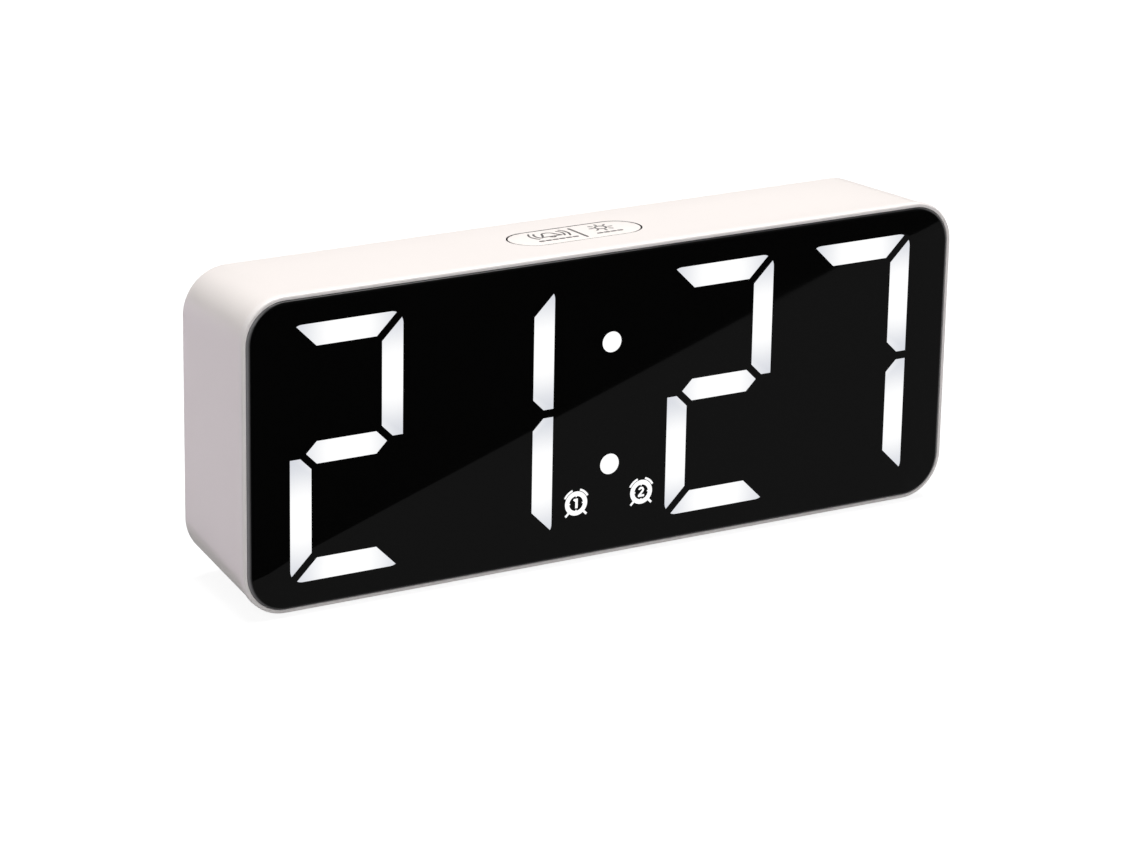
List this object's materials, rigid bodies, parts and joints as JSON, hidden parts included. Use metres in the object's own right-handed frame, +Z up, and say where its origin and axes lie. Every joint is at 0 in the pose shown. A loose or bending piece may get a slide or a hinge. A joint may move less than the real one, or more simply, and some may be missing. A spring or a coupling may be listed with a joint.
{
  "type": "digital alarm clock",
  "caption": "Mains-powered digital alarm clock: a low wide case with a gloss black display of large seven-segment digits, one long top key and a row of small rear keys.",
  "frame": {"origin": "on the surface the clock stands on, under the middle of the case", "axes": "+Z up, the display faces -Y, +X to the right of someone reading it"},
  "size_m": [0.18, 0.034, 0.0724],
  "materials": {
    "case": "satin",
    "bezel": "satin",
    "lens": "gloss",
    "digits_lit": "gloss",
    "digits_dark": "gloss",
    "tape": "matte",
    "diffuser": "matte",
    "reflector": "matte",
    "board": "satin",
    "chip": "matte",
    "led": "gloss",
    "key": "satin",
    "rubber": "matte",
    "steel": "satin",
    "spring_steel": "bright",
    "cell": "satin",
    "red_wire": "satin",
    "black_wire": "satin",
    "ribbon": "satin"
  },
  "bodies": {
    "clock": {"front_bezel": "bezel", "display_lens": "lens", "lit_segments": "digits_lit", "unlit_segments": "digits_dark", "colon_dots": "digits_lit", "alarm_icons": "digits_lit", "lens_tape": "tape", "diffuser_sheet": "diffuser", "reflector_housing": "reflector", "display_board": "board", "display_leds": "led", "display_driver": "chip", "display_screws": "steel", "rear_case": "case", "snooze_switch": "chip", "snooze_board": "board", "snooze_screws": "steel", "snooze_wires": "black_wire", "main_board": "board", "board_screws": "steel", "controller_chip": "chip", "crystal": "steel", "capacitor": "chip", "buzzer": "chip", "usb_socket": "steel", "usb_tongue": "chip", "key_switches": "chip", "battery_cell_1": "cell", "battery_cell_2": "cell", "battery_cell_3": "cell", "battery_springs": "spring_steel", "battery_plates": "spring_steel", "battery_wire_red": "red_wire", "battery_wire_black": "black_wire", "ribbon_headers": "chip", "ribbon_cable": "ribbon", "rubber_feet": "rubber", "case_screws": "steel"},
    "snooze_button": {"snooze_key": "key", "snooze_plunger": "chip"},
    "light_button": {"light_key": "key", "light_plunger": "chip"},
    "down_button": {"down_key": "key", "down_plunger": "chip"},
    "up_button": {"up_key": "key", "up_plunger": "chip"},
    "alarm_button": {"alarm_key": "key", "alarm_plunger": "chip"},
    "set_button": {"set_key": "key", "set_plunger": "chip"},
    "door": {"battery_door": "case"}
  },
  "joints": [
    {"name": "snooze_press", "type": "slide", "parent": "clock", "child": "snooze_button", "axis": [0, 0, -1], "range_m": [0, 0.0005], "stiffness_N_per_m": 400, "springref_m": -0.003},
    {"name": "light_press", "type": "slide", "parent": "clock", "child": "light_button", "axis": [0, -1, 0], "range_m": [0, 0.0005], "stiffness_N_per_m": 400, "springref_m": -0.003},
    {"name": "down_press", "type": "slide", "parent": "clock", "child": "down_button", "axis": [0, -1, 0], "range_m": [0, 0.0005], "stiffness_N_per_m": 400, "springref_m": -0.003},
    {"name": "up_press", "type": "slide", "parent": "clock", "child": "up_button", "axis": [0, -1, 0], "range_m": [0, 0.0005], "stiffness_N_per_m": 400, "springref_m": -0.003},
    {"name": "alarm_press", "type": "slide", "parent": "clock", "child": "alarm_button", "axis": [0, -1, 0], "range_m": [0, 0.0005], "stiffness_N_per_m": 400, "springref_m": -0.003},
    {"name": "set_press", "type": "slide", "parent": "clock", "child": "set_button", "axis": [0, -1, 0], "range_m": [0, 0.0005], "stiffness_N_per_m": 400, "springref_m": -0.003},
    {"name": "door_hinge", "type": "hinge", "parent": "clock", "child": "door", "pos_m": [0.047, 0.01605, 0.0188], "axis": [-1, 0, 0], "range_deg": [0, 60]}
  ]
}
